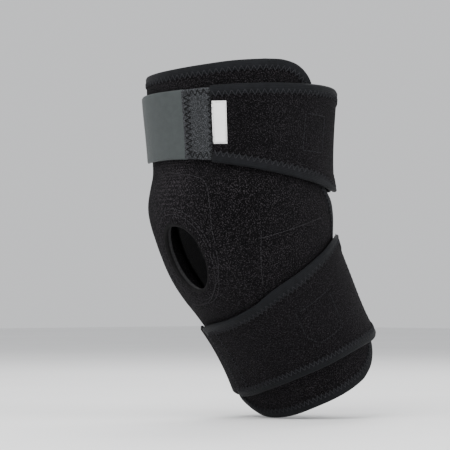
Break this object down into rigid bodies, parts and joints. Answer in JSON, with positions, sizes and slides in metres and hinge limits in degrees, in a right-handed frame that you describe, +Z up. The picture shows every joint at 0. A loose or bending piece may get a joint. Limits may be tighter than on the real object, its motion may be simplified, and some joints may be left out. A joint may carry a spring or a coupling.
{
  "type": "knee brace",
  "caption": "Wrap-around knee brace with an open patella ring, edge-bound fabric panels, spiral stays and two hook-and-loop straps, shaped as worn on a left knee.",
  "frame": {"origin": "on the thigh's own axis, level with the line that the knee bends about", "axes": "+Z up along the thigh, -Y out of the front of the knee, +X to the outer side of the left leg; the calf section hangs back by 33 degrees at rest"},
  "size_m": [0.1314, 0.1754, 0.2387],
  "materials": {
    "loop_fabric": "matte looped pile",
    "edge_tape": "matte knitted tape",
    "grey_loop_fabric": "matte brushed",
    "tab_skin": "smooth satin",
    "hook_field": "bristled",
    "woven_label": "satin weave",
    "stay_steel": "drawn wire",
    "stay_cap": "satin",
    "lining_fabric": "smooth jersey",
    "foam": "closed-cell foam"
  },
  "bodies": {
    "thigh_section": {"upper_front_panel": "loop_fabric", "upper_back_wing": "loop_fabric", "upper_panel_binding": "edge_tape", "upper_wing_top_binding": "edge_tape", "popliteal_upper_binding": "edge_tape", "upper_strap_anchor": "loop_fabric", "upper_stretch_panel": "loop_fabric", "outer_spiral_stay": "stay_steel", "inner_spiral_stay": "stay_steel", "outer_stay_pocket": "lining_fabric", "inner_stay_pocket": "lining_fabric", "upper_stay_caps": "stay_cap"},
    "patella_section": {"patella_panel": "loop_fabric", "patella_buttress": "foam", "lower_stretch_panel": "loop_fabric"},
    "calf_section": {"lower_front_panel": "loop_fabric", "lower_back_wing": "loop_fabric", "lower_panel_binding": "edge_tape", "lower_wing_foot_binding": "edge_tape", "popliteal_lower_binding": "edge_tape", "lower_strap_anchor": "loop_fabric", "lower_stay_caps": "stay_cap"},
    "upper_strap": {"upper_strap_web": "loop_fabric", "upper_strap_end": "grey_loop_fabric", "upper_strap_top_binding": "edge_tape", "upper_strap_bottom_binding": "edge_tape", "strap_label": "woven_label"},
    "upper_tab": {"upper_hook_tab": "tab_skin", "upper_hook_tape": "hook_field"},
    "lower_strap": {"lower_strap_web": "loop_fabric", "lower_strap_end": "grey_loop_fabric", "lower_strap_top_binding": "edge_tape", "lower_strap_bottom_binding": "edge_tape"},
    "lower_tab": {"lower_hook_tab": "tab_skin", "lower_hook_tape": "hook_field"}
  },
  "joints": [
    {"name": "upper_knee_bend", "type": "hinge", "parent": "thigh_section", "child": "patella_section", "pos_m": [0, 0.01, 0], "axis": [1, 0, 0], "range_deg": [-16.5, 26], "deforming": ["upper_stretch_panel", "outer_spiral_stay", "inner_spiral_stay", "outer_stay_pocket", "inner_stay_pocket"]},
    {"name": "lower_knee_bend", "type": "hinge", "parent": "patella_section", "child": "calf_section", "pos_m": [0, 0.01, 0], "axis": [1, 0, 0], "range_deg": [-16.5, 26], "deforming": ["lower_stretch_panel"]},
    {"name": "upper_strap_open", "type": "hinge", "parent": "thigh_section", "child": "upper_strap", "pos_m": [0.05629, 0.032, 0.02892], "axis": [0.0412, 0.0198, 0.999], "range_deg": [0, 120]},
    {"name": "upper_tab_open", "type": "hinge", "parent": "upper_strap", "child": "upper_tab", "pos_m": [0.01177, -0.06499, 0.02892], "axis": [0.0087, -0.0545, 0.9985], "range_deg": [0, 140]},
    {"name": "lower_strap_open", "type": "hinge", "parent": "calf_section", "child": "lower_strap", "pos_m": [0.05084, 0.07545, -0.0671], "axis": [0.0343, -0.5276, 0.8488], "range_deg": [0, 75]},
    {"name": "lower_tab_open", "type": "hinge", "parent": "lower_strap", "child": "lower_tab", "pos_m": [-0.02371, 0.01391, -0.10707], "axis": [-0.0161, -0.6152, 0.7882], "range_deg": [0, 140]}
  ],
  "couplings": [
    {"joint": "lower_knee_bend", "follows": "upper_knee_bend", "ratio": 1}
  ]
}
